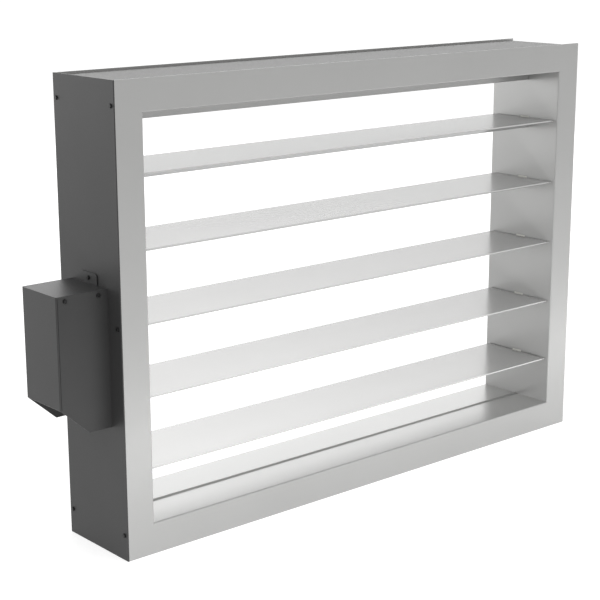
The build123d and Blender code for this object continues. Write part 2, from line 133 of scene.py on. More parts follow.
@dataclass(frozen=True)
class Finish:
    """A surface finish with fine marks and a broad, faint change of tone.

    The marks' size, their depth and the mottle's size are millimetres. The refraction counts only
    where the finish is no metal, and the edge tint colours what the surface mirrors at a low angle.
    """

    title: str
    colour: str
    metallic: float
    roughness: float
    roughness_spread: float = 0.05
    tone_spread: float = 0.04
    mark_size: float = 0.6
    mark_depth: float = 0.01
    mottle_size: float = 60.0
    grain: Grain = Grain.EVEN
    ior: float = 1.5
    edge_tint: str = "#ffffff"

    def material(self) -> bpy.types.Material:
        """Return this finish's material, made on first use."""
        found = bpy.data.materials.get(self.title)
        if found is not None:
            return found
        made = bpy.data.materials.new(self.title)
        made.use_nodes = True
        tree = made.node_tree
        tree.nodes.clear()
        place = add_node(tree, "ShaderNodeTexCoord").outputs["Object"]
        marks = self.noise(tree, place, self.mark_size, self.grain, detail=3.0)
        mottle = self.noise(tree, place, self.mottle_size, Grain.EVEN, detail=2.0)
        shader = add_node(tree, "ShaderNodeBsdfPrincipled", inputs={
            "Base Color": self.tone(tree, mottle),
            "Metallic": self.metallic,
            "Specular Tint": linear(self.edge_tint),
            "Roughness": self.spread(tree, marks, self.roughness, self.roughness_spread),
            "Normal": self.relief(tree, marks),
        })
        if self.metallic < METAL_SHARE:
            shader.inputs["IOR"].default_value = self.ior
        add_node(tree, "ShaderNodeOutputMaterial", inputs={"Surface": shader.outputs["BSDF"]})
        return made

    def noise(self, tree: bpy.types.NodeTree, place: bpy.types.NodeSocket, size: float,
              grain: Grain, detail: float) -> bpy.types.NodeSocket:
        """Add a noise whose marks are a real size.

        Args:
            tree: The material's tree.
            place: The Object coordinates.
            size: The marks' width in millimetres.
            grain: The way they run.
            detail: How many finer layers the noise has.

        Returns:
            The noise's value.
        """
        scale = [1 / (size * MM * stretch) for stretch in grain.value]
        mapped = add_node(tree, "ShaderNodeMapping", inputs={"Vector": place, "Scale": scale})
        return add_node(tree, "ShaderNodeTexNoise", inputs={
            "Vector": mapped.outputs["Vector"], "Scale": 1.0, "Detail": detail,
        }).outputs["Fac"]

    def spread(self, tree: bpy.types.NodeTree, value: bpy.types.NodeSocket, middle: float,
               half: float) -> bpy.types.NodeSocket:
        """Map a noise to a range around a middle value and return the result."""
        return add_node(tree, "ShaderNodeMapRange", inputs={
            "Value": value, "From Min": NOISE_LOW, "From Max": NOISE_HIGH,
            "To Min": middle - half, "To Max": middle + half,
        }).outputs["Result"]

    def tone(self, tree: bpy.types.NodeTree, value: bpy.types.NodeSocket) -> bpy.types.NodeSocket:
        """Vary the base colour between slightly darker and slightly lighter by a noise."""
        base = linear(self.colour)
        ramp = add_node(tree, "ShaderNodeValToRGB", inputs={"Fac": value})
        stops = ((NOISE_LOW, 1 - self.tone_spread), (NOISE_HIGH, 1 + self.tone_spread))
        for element, (position, share) in zip(ramp.color_ramp.elements, stops):
            element.position = position
            element.color = [min(c * share, 1.0) for c in base[:3]] + [1.0]
        return ramp.outputs["Color"]

    def relief(self, tree: bpy.types.NodeTree, value: bpy.types.NodeSocket) -> bpy.types.NodeSocket:
        """Turn a noise into a relief as deep as the finish's marks."""
        return add_node(tree, "ShaderNodeBump", inputs={
            "Height": value, "Distance": self.mark_depth * MM, "Strength": 1.0,
        }).outputs["Normal"]


# Satin zinc-coated steel sheet: a soft sheen, faint rolling marks and barely any colour.
CASING_SHEET = Finish(
    "satin_coated_sheet", "#a6a6a5", metallic=0.5, roughness=0.3, roughness_spread=0.02,
    tone_spread=0.015, mark_size=1.6, mark_depth=0.001, mottle_size=90.0,
)
# The plates that close the channels, in the coil's rough state: darker and duller, with deeper marks.
PLATE_SHEET = Finish(
    "mill_coated_sheet", "#5e5e5d", metallic=0.3, roughness=0.6, roughness_spread=0.06,
    tone_spread=0.04, mark_size=1.6, mark_depth=0.004, mottle_size=45.0,
)
# Extruded aluminium: bright, with die lines that run the blade's length and a greyed low-angle mirror.
BLADE_METAL = Finish(
    "extruded_aluminium", "#bcbcbb", metallic=0.55, roughness=0.24, roughness_spread=0.02,
    tone_spread=0.012, mark_size=0.9, mark_depth=0.001, mottle_size=120.0, grain=Grain.ALONG_BLADES,
    edge_tint="#b0b0b0",
)
# Dark grey powder coat, semi-gloss: the orange peel is drawn a little coarser than it is.
DARK_COATING = Finish(
    "powder_coated_sheet", "#353535", metallic=0.0, roughness=0.45, roughness_spread=0.04,
    tone_spread=0.05, mark_size=1.4, mark_depth=0.006, mottle_size=70.0, ior=1.36,
)
# The same coat, drawn near black as painted shade for the narrow joint between two sheets, where next to no
# light comes back.
PAINTED_GAP_SHADE = Finish(
    "painted_gap_shade", "#1e1e1e", metallic=0.0, roughness=0.7, roughness_spread=0.03,
    tone_spread=0.03, mark_size=1.4, mark_depth=0.002, mottle_size=70.0, ior=1.36,
)
# Blackened steel: near black, with a faint oily shine.
BLACK_SCREW = Finish(
    "blackened_steel", "#151515", metallic=0.4, roughness=0.38, roughness_spread=0.08, tone_spread=0.1,
    mark_size=0.5, mark_depth=0.004, mottle_size=5.0,
)
# Zinc-plated steel: slightly blue, soft shine.
PLATED_STEEL = Finish(
    "zinc_plated_steel", "#a9abab", metallic=1.0, roughness=0.3, roughness_spread=0.08,
    tone_spread=0.05, mark_size=0.5, mark_depth=0.003, mottle_size=12.0,
)
# Die-cast zinc: dull, with a fine cast skin.
DIE_CAST = Finish(
    "die_cast_zinc", "#8d8e90", metallic=1.0, roughness=0.45, roughness_spread=0.1, tone_spread=0.06,
    mark_size=0.7, mark_depth=0.01, mottle_size=10.0,
)
# Moulded glass-filled nylon: a fine dull skin, grey on the blades' ends and black on the gears.
HUB_NYLON = Finish(
    "moulded_nylon_grey", "#a8a8a6", metallic=0.0, roughness=0.45, roughness_spread=0.08,
    tone_spread=0.04, mark_size=0.5, mark_depth=0.008, mottle_size=15.0, ior=1.53,
)
GEAR_NYLON = Finish(
    "moulded_nylon_black", "#1d1d1d", metallic=0.0, roughness=0.45, roughness_spread=0.08,
    tone_spread=0.08, mark_size=0.5, mark_depth=0.008, mottle_size=15.0, ior=1.53,
)
# Moulded acetal: pale, slightly waxy.
BUSH_ACETAL = Finish(
    "moulded_acetal", "#dcdcd6", metallic=0.0, roughness=0.35, roughness_spread=0.05, tone_spread=0.02,
    mark_size=0.6, mark_depth=0.004, mottle_size=8.0, ior=1.48,
)
# Moulded ABS from a spark-eroded mould: near black, with a fine even texture.
CASE_ABS = Finish(
    "moulded_abs", "#2b2d2f", metallic=0.0, roughness=0.42, roughness_spread=0.07, tone_spread=0.05,
    mark_size=0.45, mark_depth=0.012, mottle_size=20.0, ior=1.53,
)
# Moulded rubber: black and matt.
GLAND_RUBBER = Finish(
    "moulded_rubber", "#121212", metallic=0.0, roughness=0.6, roughness_spread=0.06, tone_spread=0.1,
    mark_size=0.5, mark_depth=0.01, mottle_size=8.0, ior=1.52,
)
# Moulded ABS in pale grey, from a smooth mould: a light, soft shine.
BUTTON_ABS = Finish(
    "moulded_abs_grey", "#b4b4b2", metallic=0.0, roughness=0.35, roughness_spread=0.05,
    tone_spread=0.03, mark_size=0.5, mark_depth=0.004, mottle_size=6.0, ior=1.53,
)


# ---- meshes taken from the solids ----
def merged(node: str) -> bmesh.types.BMesh:
    """Return a copy of a solid's mesh with its loose triangles merged."""
    work = bmesh.new()
    work.from_mesh(frame["nodes"][node].data)
    bmesh.ops.remove_doubles(work, verts=work.verts, dist=WELD)
    return work


def mesh_from(name: str, work: bmesh.types.BMesh) -> bpy.types.Mesh:
    """Turn a working mesh into one that a piece can hold, and free it."""
    mesh = bpy.data.meshes.new(name)
    work.to_mesh(mesh)
    work.free()
    return mesh


def box_of(node: str) -> tuple[Vector, Vector]:
    """Return a node's lowest and highest corner in millimetres."""
    low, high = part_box(node)
    return low / MM, high / MM


def solids_of(node: str) -> list[tuple[Vector, Vector]]:
    """Find the separate solids of a node.

    Args:
        node: The node's name.

    Returns:
        The lowest and highest corner of each solid, in millimetres.
    """
    work = merged(node)
    waiting = set(work.verts)
    boxes = []
    while waiting:
        group = []
        reached = [waiting.pop()]
        while reached:
            vert = reached.pop()
            group.append(vert.co / MM)
            for edge in vert.link_edges:
                other = edge.other_vert(vert)
                if other in waiting:
                    waiting.remove(other)
                    reached.append(other)
        low = Vector([min(c[i] for c in group) for i in range(3)])
        high = Vector([max(c[i] for c in group) for i in range(3)])
        boxes.append((low, high))
    work.free()
    return sorted(boxes, key=lambda box: tuple(round(c, 3) for c in box[0]))


def body_of(node: str) -> str:
    """Return the name of the body that a solid belongs to."""
    bodies = frame["record"]["behaviour"]["bodies"]
    return next(body for body, nodes in bodies.items() if node in nodes)


def finished(name: str, mesh: bpy.types.Mesh, finish: Finish, body: str,
             nodes: Sequence[str] = ()) -> None:
    """Make a piece from a finished mesh, and tie it to its body.

    Args:
        name: The piece's name.
        mesh: Its mesh, in place.
        finish: Its finish.
        body: The body that it rides on.
        nodes: The solids that it stands for.
    """
    piece = bpy.data.objects.new(name, mesh)
    bpy.context.scene.collection.objects.link(piece)
    piece.data.materials.clear()
    piece.data.materials.append(finish.material())
    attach(piece, body)
    if nodes:
        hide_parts(*nodes)
    log.info("%s rides on %s", name, body)


def dressed(node: str, mesh: bpy.types.Mesh, finish: Finish) -> None:
    """Show a finished mesh in place of a node, on the node's own body."""
    finished(f"{node}_dressed", mesh, finish, body_of(node), [node])


def converted(piece: bpy.types.Object) -> bpy.types.Mesh:
    """Return the plain mesh that an object's modifiers make, and remove the object."""
    bpy.context.view_layer.update()
    graph = bpy.context.evaluated_depsgraph_get()
    mesh = bpy.data.meshes.new_from_object(piece.evaluated_get(graph))
    name = piece.name
    bpy.data.objects.remove(piece)
    mesh.name = name
    return mesh


def softened(node: str, width: float, sharp: Callable[[Vector], bool] | None = None) -> bpy.types.Mesh:
    """Copy a solid's mesh and break its edges, as sheared, folded or moulded edges are.

    Args:
        node: The solid's node.
        width: The broken edge's width in millimetres.
        sharp: Says of a point, in millimetres, whether edges that lie there stay sharp.

    Returns:
        The mesh, in place.
    """
    work = merged(node)
    bmesh.ops.dissolve_limit(work, angle_limit=FLAT, verts=work.verts, edges=work.edges)
    weights = work.edges.layers.float.new("bevel_weight_edge")
    for edge in work.edges:
        folded = len(edge.link_faces) == 2 and edge.calc_face_angle(0.0) > FOLD
        held = sharp is not None and all(sharp(vert.co / MM) for vert in edge.verts)
        edge[weights] = 1.0 if folded and not held else 0.0
        edge.smooth = len(edge.link_faces) == 2 and edge.calc_face_angle(0.0) < FOLD
    for face in work.faces:
        face.smooth = True
    piece = bpy.data.objects.new(f"{node}_dressed", mesh_from(f"{node}_edges", work))
    bpy.context.scene.collection.objects.link(piece)
    bevel = piece.modifiers.new("edges", "BEVEL")
    bevel.width = width * MM
    bevel.segments = EDGE_STEPS
    bevel.limit_method = "WEIGHT"
    evened = piece.modifiers.new("evened", "WEIGHTED_NORMAL")
    evened.mode = "FACE_AREA"
    evened.keep_sharp = True
    return converted(piece)


def dress_node(node: str, finish: Finish) -> None:
    """Give a solid that is right as it stands its finish."""
    shown = frame["nodes"][node]
    shown.data.materials.clear()
    shown.data.materials.append(finish.material())
    log.info("%s stays, in %s", node, finish.title)


def soften_node(node: str, finish: Finish, width: float,
                sharp: Callable[[Vector], bool] | None = None) -> None:
    """Show a solid with its edges broken and its finish on.

    Args:
        node: The solid's node.
        finish: Its finish.
        width: The broken edge's width in millimetres.
        sharp: Says of a point, in millimetres, whether edges that lie there stay sharp.
    """
    dressed(node, softened(node, width, sharp), finish)


# ---- Geometry Nodes ----
def new_tree(name: str, sizes: dict[str, float]) -> bpy.types.GeometryNodeTree:
    """Start a tree that takes a geometry and named sizes and gives a geometry.

    Args:
        name: The tree's name.
        sizes: The named inputs and their first values.

    Returns:
        The tree, with its group input and output in place.
    """
    tree = bpy.data.node_groups.new(name, "GeometryNodeTree")
    tree.interface.new_socket("Geometry", in_out="INPUT", socket_type="NodeSocketGeometry")
    for title, value in sizes.items():
        socket = tree.interface.new_socket(title, in_out="INPUT", socket_type="NodeSocketFloat")
        socket.default_value = value
    tree.interface.new_socket("Geometry", in_out="OUTPUT", socket_type="NodeSocketGeometry")
    tree.nodes.new("NodeGroupInput")
    return tree


def close_tree(tree: bpy.types.GeometryNodeTree, shape: bpy.types.NodeSocket, finish: Finish) -> None:
    """End a tree in real faces that carry a finish."""
    real = add_node(tree, "GeometryNodeRealizeInstances", inputs={"Geometry": shape})
    coated = add_node(tree, "GeometryNodeSetMaterial", inputs={
        "Geometry": real.outputs["Geometry"], "Material": finish.material(),
    })
    add_node(tree, "NodeGroupOutput", inputs={"Geometry": coated.outputs["Geometry"]})


def grown(name: str, seed: bpy.types.Mesh, tree: bpy.types.GeometryNodeTree,
          sizes: dict[str, float]) -> bpy.types.Mesh:
    """Run a tree on a seed mesh.

    Args:
        name: The result's name.
        seed: The mesh that the tree starts from.
        tree: The tree.
        sizes: Values for its named inputs.

    Returns:
        The plain mesh that the tree makes.
    """
    piece = bpy.data.objects.new(name, seed)
    bpy.context.scene.collection.objects.link(piece)
    modifier = piece.modifiers.new("grow", "NODES")
    modifier.node_group = tree
    sockets = {s.name: s.identifier for s in tree.interface.items_tree if s.in_out == "INPUT"}
    for title, value in sizes.items():
        modifier[sockets[title]] = float(value)
    return converted(piece)


def rounded_look(mesh: bpy.types.Mesh) -> bpy.types.Mesh:
    """Shade a mesh smooth except at its sharp edges, and return it."""
    mesh.shade_smooth()
    mesh.set_sharp_from_angle(angle=SMOOTH)
    return mesh


# ---- turned and hexagon pieces ----
class Shape(Enum):
    """The outline of a turned or milled piece's cross section, as its number of corners."""

    ROUND = 0
    HEXAGON = 6


@dataclass(frozen=True)
class Ring:
    """One level of a stacked piece: its outline, reach from the axis and height in millimetres."""

    shape: Shape
    reach: float
    height: float

    def reach_at(self, angle: float) -> float:
        """Return how far the outline is from the axis at an angle in radians."""
        if self.shape is Shape.ROUND:
            return self.reach
        half = pi / self.shape.value
        return self.reach * (cos(half) / cos(angle % (2 * half) - half))

    def points(self, count: int) -> list[Vector]:
        """Place points evenly by angle on the outline, its corners among them."""
        placed = []
        for i in range(count):
            angle = 2 * pi * i / count
            reach = self.reach_at(angle)
            placed.append(Vector((reach * cos(angle), reach * sin(angle), self.height)) * MM)
        return placed


def stacked(name: str, stacks: Sequence[tuple[Sequence[Ring], Matrix]],
            count: int = SMALL_RING) -> bpy.types.Mesh:
    """Skin rings that follow each other along an axis, and close both ends.

    Args:
        name: The mesh's name.
        stacks: The rings of each piece, from one end to the other, and its place.
        count: How many points a ring has.

    Returns:
        One mesh with all the pieces in place.
    """
    work = bmesh.new()
    for rings, place in stacks:
        levels = [[work.verts.new(place @ p) for p in ring.points(count)] for ring in rings]
        for low, high in zip(levels, levels[1:]):
            for i in range(count):
                j = (i + 1) % count
                work.faces.new((low[i], low[j], high[j], high[i]))
        work.faces.new(levels[0][::-1])
        work.faces.new(levels[-1])
    bmesh.ops.recalc_face_normals(work, faces=work.faces)
    return rounded_look(mesh_from(name, work))


def slab(name: str, low: Vector, high: Vector, edge: float) -> bpy.types.Mesh:
    """Make a box between two corners in millimetres, with its edges broken by a width."""
    work = bmesh.new()
    size = (high - low) * MM
    spread = Matrix.Diagonal((*size, 1.0))
    bmesh.ops.create_cube(work, size=1.0, matrix=Matrix.Translation((low + high) / 2 * MM) @ spread)
    bmesh.ops.bevel(work, geom=list(work.edges), offset=edge * MM, segments=EDGE_STEPS, profile=0.5,
                    affect="EDGES")
    return rounded_look(mesh_from(name, work))


# ---- screws ----
@dataclass
class Screws:
    """Self-drilling screws with a hexagon head and a washer face, set on seats of their own."""

    head_width: float = 4.5
    head_height: float = 1.8
    chamfer: float = 0.4
    washer_diameter: float = 5.4
    washer_height: float = 0.5
    washer_sides: int = 32
    seat_depth: float = 1.6
    turn_seed: int = 7

    def sizes(self) -> dict[str, float]:
        """Return the tree's named sizes, in metres."""
        return {
            "Head Radius": self.head_width / sqrt(3) * MM, "Head Height": self.head_height * MM,
            "Chamfer": self.chamfer * MM, "Washer Radius": self.washer_diameter / 2 * MM,
            "Washer Height": self.washer_height * MM,
        }

    def tree(self, finish: Finish) -> bpy.types.GeometryNodeTree:
        """Make the tree that sets a head on every seat.

        Args:
            finish: The screws' finish.

        Returns:
            The tree. Each seat is a point whose facing attribute points out of the sheet.
        """
        tree = new_tree(f"screw_heads_{finish.title}", self.sizes())
        corners = Shape.HEXAGON.value
        given = tree.nodes["Group Input"].outputs
        shank = add_node(tree, "ShaderNodeMath", {"operation": "SUBTRACT"},
                         {0: given["Head Height"], 1: given["Chamfer"]}).outputs[0]
        crown = add_node(tree, "ShaderNodeMath", {"operation": "SUBTRACT"},
                         {0: given["Head Radius"], 1: given["Chamfer"]}).outputs[0]
        washer = add_node(tree, "GeometryNodeMeshCone", inputs={
            "Vertices": self.washer_sides, "Radius Bottom": given["Washer Radius"],
            "Radius Top": given["Head Radius"], "Depth": given["Washer Height"],
        }).outputs["Mesh"]
        prism = add_node(tree, "GeometryNodeMeshCone", inputs={
            "Vertices": corners, "Radius Bottom": given["Head Radius"], "Radius Top": given["Head Radius"],
            "Depth": shank,
        }).outputs["Mesh"]
        cap = add_node(tree, "GeometryNodeMeshCone", inputs={
            "Vertices": corners, "Radius Bottom": given["Head Radius"], "Radius Top": crown,
            "Depth": given["Chamfer"],
        }).outputs["Mesh"]
        rise = add_node(tree, "ShaderNodeCombineXYZ", inputs={"Z": shank}).outputs[0]
        lifted = add_node(tree, "GeometryNodeTransform", inputs={"Geometry": cap, "Translation": rise})
        head = add_node(tree, "GeometryNodeJoinGeometry")
        for part in (washer, prism, lifted.outputs["Geometry"]):
            tree.links.new(part, head.inputs["Geometry"])
        facing = add_node(tree, "GeometryNodeInputNamedAttribute", {"data_type": "FLOAT_VECTOR"},
                          {"Name": "facing"}).outputs[0]
        turned = add_node(tree, "FunctionNodeAlignRotationToVector", {"axis": "Z"}, {"Vector": facing})
        spin = add_node(tree, "FunctionNodeRandomValue", {"data_type": "FLOAT"},
                        {2: 0.0, 3: 2 * pi, "Seed": self.turn_seed}).outputs[1]
        about = add_node(tree, "ShaderNodeCombineXYZ", inputs={"Z": spin}).outputs[0]
        twist = add_node(tree, "FunctionNodeEulerToRotation", inputs={"Euler": about}).outputs[0]
        both = add_node(tree, "FunctionNodeRotateRotation", {"rotation_space": "LOCAL"},
                        {"Rotation": turned.outputs[0], "Rotate By": twist}).outputs[0]
        placed = add_node(tree, "GeometryNodeInstanceOnPoints", inputs={
            "Points": given["Geometry"], "Instance": head.outputs["Geometry"], "Rotation": both,
        })
        close_tree(tree, placed.outputs["Instances"], finish)
        return tree

    def seat(self, low: Vector, high: Vector) -> tuple[Vector, Vector]:
        """Find a screw's seat from its solid's box.

        Args:
            low: The solid's lowest corner in millimetres.
            high: Its highest corner.

        Returns:
            The seat's point, and the direction that the head faces.
        """
        middle = (low + high) / 2
        size = high - low
        if size.x > size.y:
            return Vector((low.x + self.seat_depth, middle.y, middle.z)), Vector((-1, 0, 0))
        side = -1 if middle.y < 0 else 1
        reach = low.y + self.seat_depth if side < 0 else high.y - self.seat_depth
        return Vector((middle.x, reach, middle.z)), Vector((0, side, 0))

    def build(self, node: str, finish: Finish) -> None:
        """Set the heads of one group of screws.

        Args:
            node: The node that holds the screws' solids.
            finish: Their finish.
        """
        seats = [self.seat(*box) for box in solids_of(node)]
        points = bpy.data.meshes.new(f"{node}_seats")
        points.from_pydata([tuple(point * MM) for point, _ in seats], [], [])
        facing = points.attributes.new("facing", "FLOAT_VECTOR", "POINT")
        facing.data.foreach_set("vector", [c for _, direction in seats for c in direction])
        heads = grown(f"{node}_heads", points, self.tree(finish), self.sizes())
        dressed(node, rounded_look(heads), finish)


# ---- casing ----
@dataclass
class Casing:
    """Four mitred channels, the plates that close their backs, the filler strips and the bushes."""

    edge: float = 0.35
    plate_edge: float = 0.25
    mitre_reach: float = 0.06
    corner_reach: float = 1.0

    def on_mitre(self, point: Vector) -> bool:
        """Say whether a point, in millimetres, lies on one of the casing's four mitres."""
        low, high = box_of("top_filler_strip")
        sill = box_of("bottom_filler_strip")[0].z
        across = min(abs(point.x - low.x), abs(point.x - high.x))
        up = min(abs(point.z - sill), abs(point.z - high.z))
        in_width = low.x + self.corner_reach < point.x < high.x - self.corner_reach
        in_height = sill + self.corner_reach < point.z < high.z - self.corner_reach
        return not in_width and not in_height and abs(across - up) < self.mitre_reach

    def build(self) -> None:
        """Dress the channels, plates, strips, corner angles and bushes."""
        for node in ("top_rail", "bottom_rail", "drive_side_stile", "idle_side_stile"):
            soften_node(node, CASING_SHEET, self.edge, self.on_mitre)
        for node in ("top_closing_plate", "bottom_closing_plate", "idle_closing_plate"):
            soften_node(node, PLATE_SHEET, self.plate_edge)
        for node in ("top_filler_strip", "bottom_filler_strip"):
            soften_node(node, CASING_SHEET, self.plate_edge)
        dress_node("corner_angles", PLATE_SHEET)
        for node in ("drive_side_bushes", "idle_side_bushes"):
            dress_node(node, BUSH_ACETAL)


# ---- blades ----
@dataclass
class Blade:
    """One blade with its two moulded ends and its gear."""

    number: int
    edge: float = 0.3

    def build(self) -> None:
        """Dress the blade, its ends and its gear."""
        soften_node(f"blade_{self.number}", BLADE_METAL, self.edge)
        for side in ("drive", "idle"):
            dress_node(f"{side}_hub_{self.number}", HUB_NYLON)
        dress_node(f"gear_{self.number}", GEAR_NYLON)


def blade_numbers() -> range:
    """Return the blades' numbers, counted from the solids."""
    count = sum(node.startswith("blade_") for node in frame["nodes"])
    return range(1, count + 1)


# ---- side cover and drive box ----
@dataclass
class SideCover:
    """The flat dark cover over the gears, with its screws and the drive shaft's bush."""

    edge: float = 0.3

    def build(self, screws: Screws) -> None:
        """Dress the cover.

        Args:
            screws: The screws that hold it.
        """
        soften_node("side_cover", DARK_COATING, self.edge)
        screws.build("cover_screws", BLACK_SCREW)
        dress_node("shaft_bush", BUSH_ACETAL)


@dataclass
class DriveBox:
    """The folded box over the actuator: shell, top panel and their screws."""

    edge: float = 0.3
    seam_width: float = 0.7
    seam_rise: float = 0.05
    seam_sink: float = 0.12
    seam_edge_share: float = 1 / 3
    seam_end: float = 1.0
    seam_start: float = 1.5
    chamfer_rise: float = 33.0

    def seam(self) -> None:
        """Draw painted shade down the front cheek beside the outer face's fold: a near-black strip where
        the joint runs.
        """
        low, high = box_of("drive_box_shell")
        start = low.x + self.seam_start
        near = Vector((start, low.y - self.seam_rise, low.z + self.chamfer_rise))
        far = Vector((start + self.seam_width, low.y + self.seam_sink, high.z - self.seam_end))
        # The slab is painted shade: a near-black sheet laid where the joint's shadow falls.
        mesh = slab("drive_box_seam_shade", near, far, self.seam_rise * self.seam_edge_share)
        finished("drive_box_seam_shade", mesh, PAINTED_GAP_SHADE, "casing")

    def build(self, screws: Screws) -> None:
        """Dress the box.

        Args:
            screws: The screws that hold its top.
        """
        soften_node("drive_box_shell", DARK_COATING, self.edge)
        soften_node("drive_box_top", DARK_COATING, self.edge)
        screws.build("drive_box_screws", BLACK_SCREW)
        self.seam()


# ---- actuator ----
@dataclass
class Dial:
    """Plain tick marks round the clamp, for the quarter turn from open to shut, and the clamp's pointer."""

    reach: float = 23.2
    tick_length: float = 2.2
    tick_width: float = 0.5
    tick_rise: float = 0.25
    gaps: int = 9
    pointer_start: float = 12.6
    pointer_length: float = 4.2
    pointer_width: float = 4.0
    pointer_rise: float = 0.6

    def sizes(self) -> dict[str, float]:
        """Return the tree's named sizes: a count, an angle in radians, and lengths in metres."""
        return {
            "Ticks": self.gaps + 1, "Step": pi / 2 / self.gaps, "Reach": self.reach * MM,
            "Length": self.tick_length * MM, "Width": self.tick_width * MM, "Rise": self.tick_rise * MM,
        }

    def tree(self, finish: Finish) -> bpy.types.GeometryNodeTree:
        """Make the tree that sets ticks evenly on an arc about the point that it is given.

        Args:
            finish: The ticks' finish.

        Returns:
            The tree.
        """
        tree = new_tree("dial_ticks", self.sizes())
        given = tree.nodes["Group Input"].outputs
        row = add_node(tree, "GeometryNodeMeshLine", inputs={"Count": given["Ticks"], "Offset": (0, 0, 0)})
        index = add_node(tree, "GeometryNodeInputIndex").outputs[0]
        angle = add_node(tree, "ShaderNodeMath", {"operation": "MULTIPLY"},
                         {0: index, 1: given["Step"]}).outputs[0]
        across = add_node(tree, "ShaderNodeMath", {"operation": "COSINE"}, {0: angle}).outputs[0]
        upward = add_node(tree, "ShaderNodeMath", {"operation": "SINE"}, {0: angle}).outputs[0]
        outward = add_node(tree, "ShaderNodeCombineXYZ", inputs={"Y": across, "Z": upward}).outputs[0]
        arc = add_node(tree, "ShaderNodeVectorMath", {"operation": "SCALE"},
                       {0: outward, "Scale": given["Reach"]}).outputs[0]
        centre = add_node(tree, "GeometryNodeInputPosition").outputs[0]
        hub = add_node(tree, "GeometryNodeSampleIndex", {"data_type": "FLOAT_VECTOR"},
                       {"Geometry": given["Geometry"], "Value": centre}).outputs[0]
        place = add_node(tree, "ShaderNodeVectorMath", {"operation": "ADD"}, {0: arc, 1: hub}).outputs[0]
        placed = add_node(tree, "GeometryNodeSetPosition", inputs={
            "Geometry": row.outputs["Mesh"], "Position": place,
        })
        size = add_node(tree, "ShaderNodeCombineXYZ", inputs={
            "X": given["Rise"], "Y": given["Length"], "Z": given["Width"],
        }).outputs[0]
        tick = add_node(tree, "GeometryNodeMeshCube", inputs={"Size": size}).outputs["Mesh"]
        turn = add_node(tree, "ShaderNodeCombineXYZ", inputs={"X": angle}).outputs[0]
        ticks = add_node(tree, "GeometryNodeInstanceOnPoints", inputs={
            "Points": placed.outputs["Geometry"], "Instance": tick, "Rotation": turn,
        })
        close_tree(tree, ticks.outputs["Instances"], finish)
        return tree

    def ticks(self, face: Vector) -> None:
        """Set the ticks on the case, about the shaft axis on its outer face, in millimetres."""
        centre = bpy.data.meshes.new("dial_centre")
        centre.from_pydata([tuple(face * MM)], [], [])
        mesh = grown("dial_ticks", centre, self.tree(BUTTON_ABS), self.sizes())
        finished("dial_ticks", mesh, BUTTON_ABS, "casing")

    def pointer(self, face: Vector) -> None:
        """Set the pointer on the clamp, about the shaft axis on its outer face, in millimetres."""
        half = self.pointer_width / 2
        tip = self.pointer_start + self.pointer_length
        outline = [(self.pointer_start, -half), (tip, 0.0), (self.pointer_start, half)]
        work = bmesh.new()
        verts = [work.verts.new(Vector((face.x, face.y + y, face.z + z)) * MM) for y, z in outline]
        base = work.faces.new(verts)
        top = bmesh.ops.extrude_face_region(work, geom=[base])["geom"]
        raised = [v for v in top if isinstance(v, bmesh.types.BMVert)]
        bmesh.ops.translate(work, verts=raised, vec=(-self.pointer_rise * MM, 0, 0))
        bmesh.ops.recalc_face_normals(work, faces=work.faces)
        mesh = mesh_from("clamp_pointer", work)
        finished("clamp_pointer", mesh, BUTTON_ABS, body_of("actuator_clamp"))

    def build(self, case_face: float, clamp_face: float, axis: float) -> None:
        """Set the ticks on the case and the pointer on the clamp.

        Args:
            case_face: The place of the case's outer face along X, in millimetres.
            clamp_face: The place of the clamp's outer face along X.
            axis: The height of the shaft's axis.
        """
        self.ticks(Vector((case_face, 0, axis)))
        self.pointer(Vector((clamp_face, 0, axis)))


@dataclass
class LidScrews:
    """Socket screws near the corners of the case's outer face."""

    inset: float = 5.6
    reach: float = 2.3
    rise: float = 0.9
    side_share: float = 0.7
    crown_share: float = 0.86
    socket_reach: float = 1.3
    socket_floor: float = 0.1

    def build(self, low: Vector, high: Vector) -> None:
        """Set the screws.

        Args:
            low: The case's lowest corner in millimetres.
            high: Its highest corner.
        """
        rings = [
            Ring(Shape.ROUND, self.reach, 0),
            Ring(Shape.ROUND, self.reach, self.rise * self.side_share),
            Ring(Shape.ROUND, self.reach * self.crown_share, self.rise),
            Ring(Shape.HEXAGON, self.socket_reach, self.rise),
            Ring(Shape.HEXAGON, self.socket_reach, self.socket_floor),
        ]
        outward = Matrix.Rotation(-pi / 2, 4, "Y")
        across = (low.y + self.inset, high.y - self.inset)
        upward = (low.z + self.inset, high.z - self.inset)
        places = [Vector((low.x, y, z)) for y in across for z in upward]
        stacks = [(rings, Matrix.Translation(place * MM) @ outward) for place in places]
        finished("lid_screws", stacked("lid_screws", stacks), PLATED_STEEL, "casing")


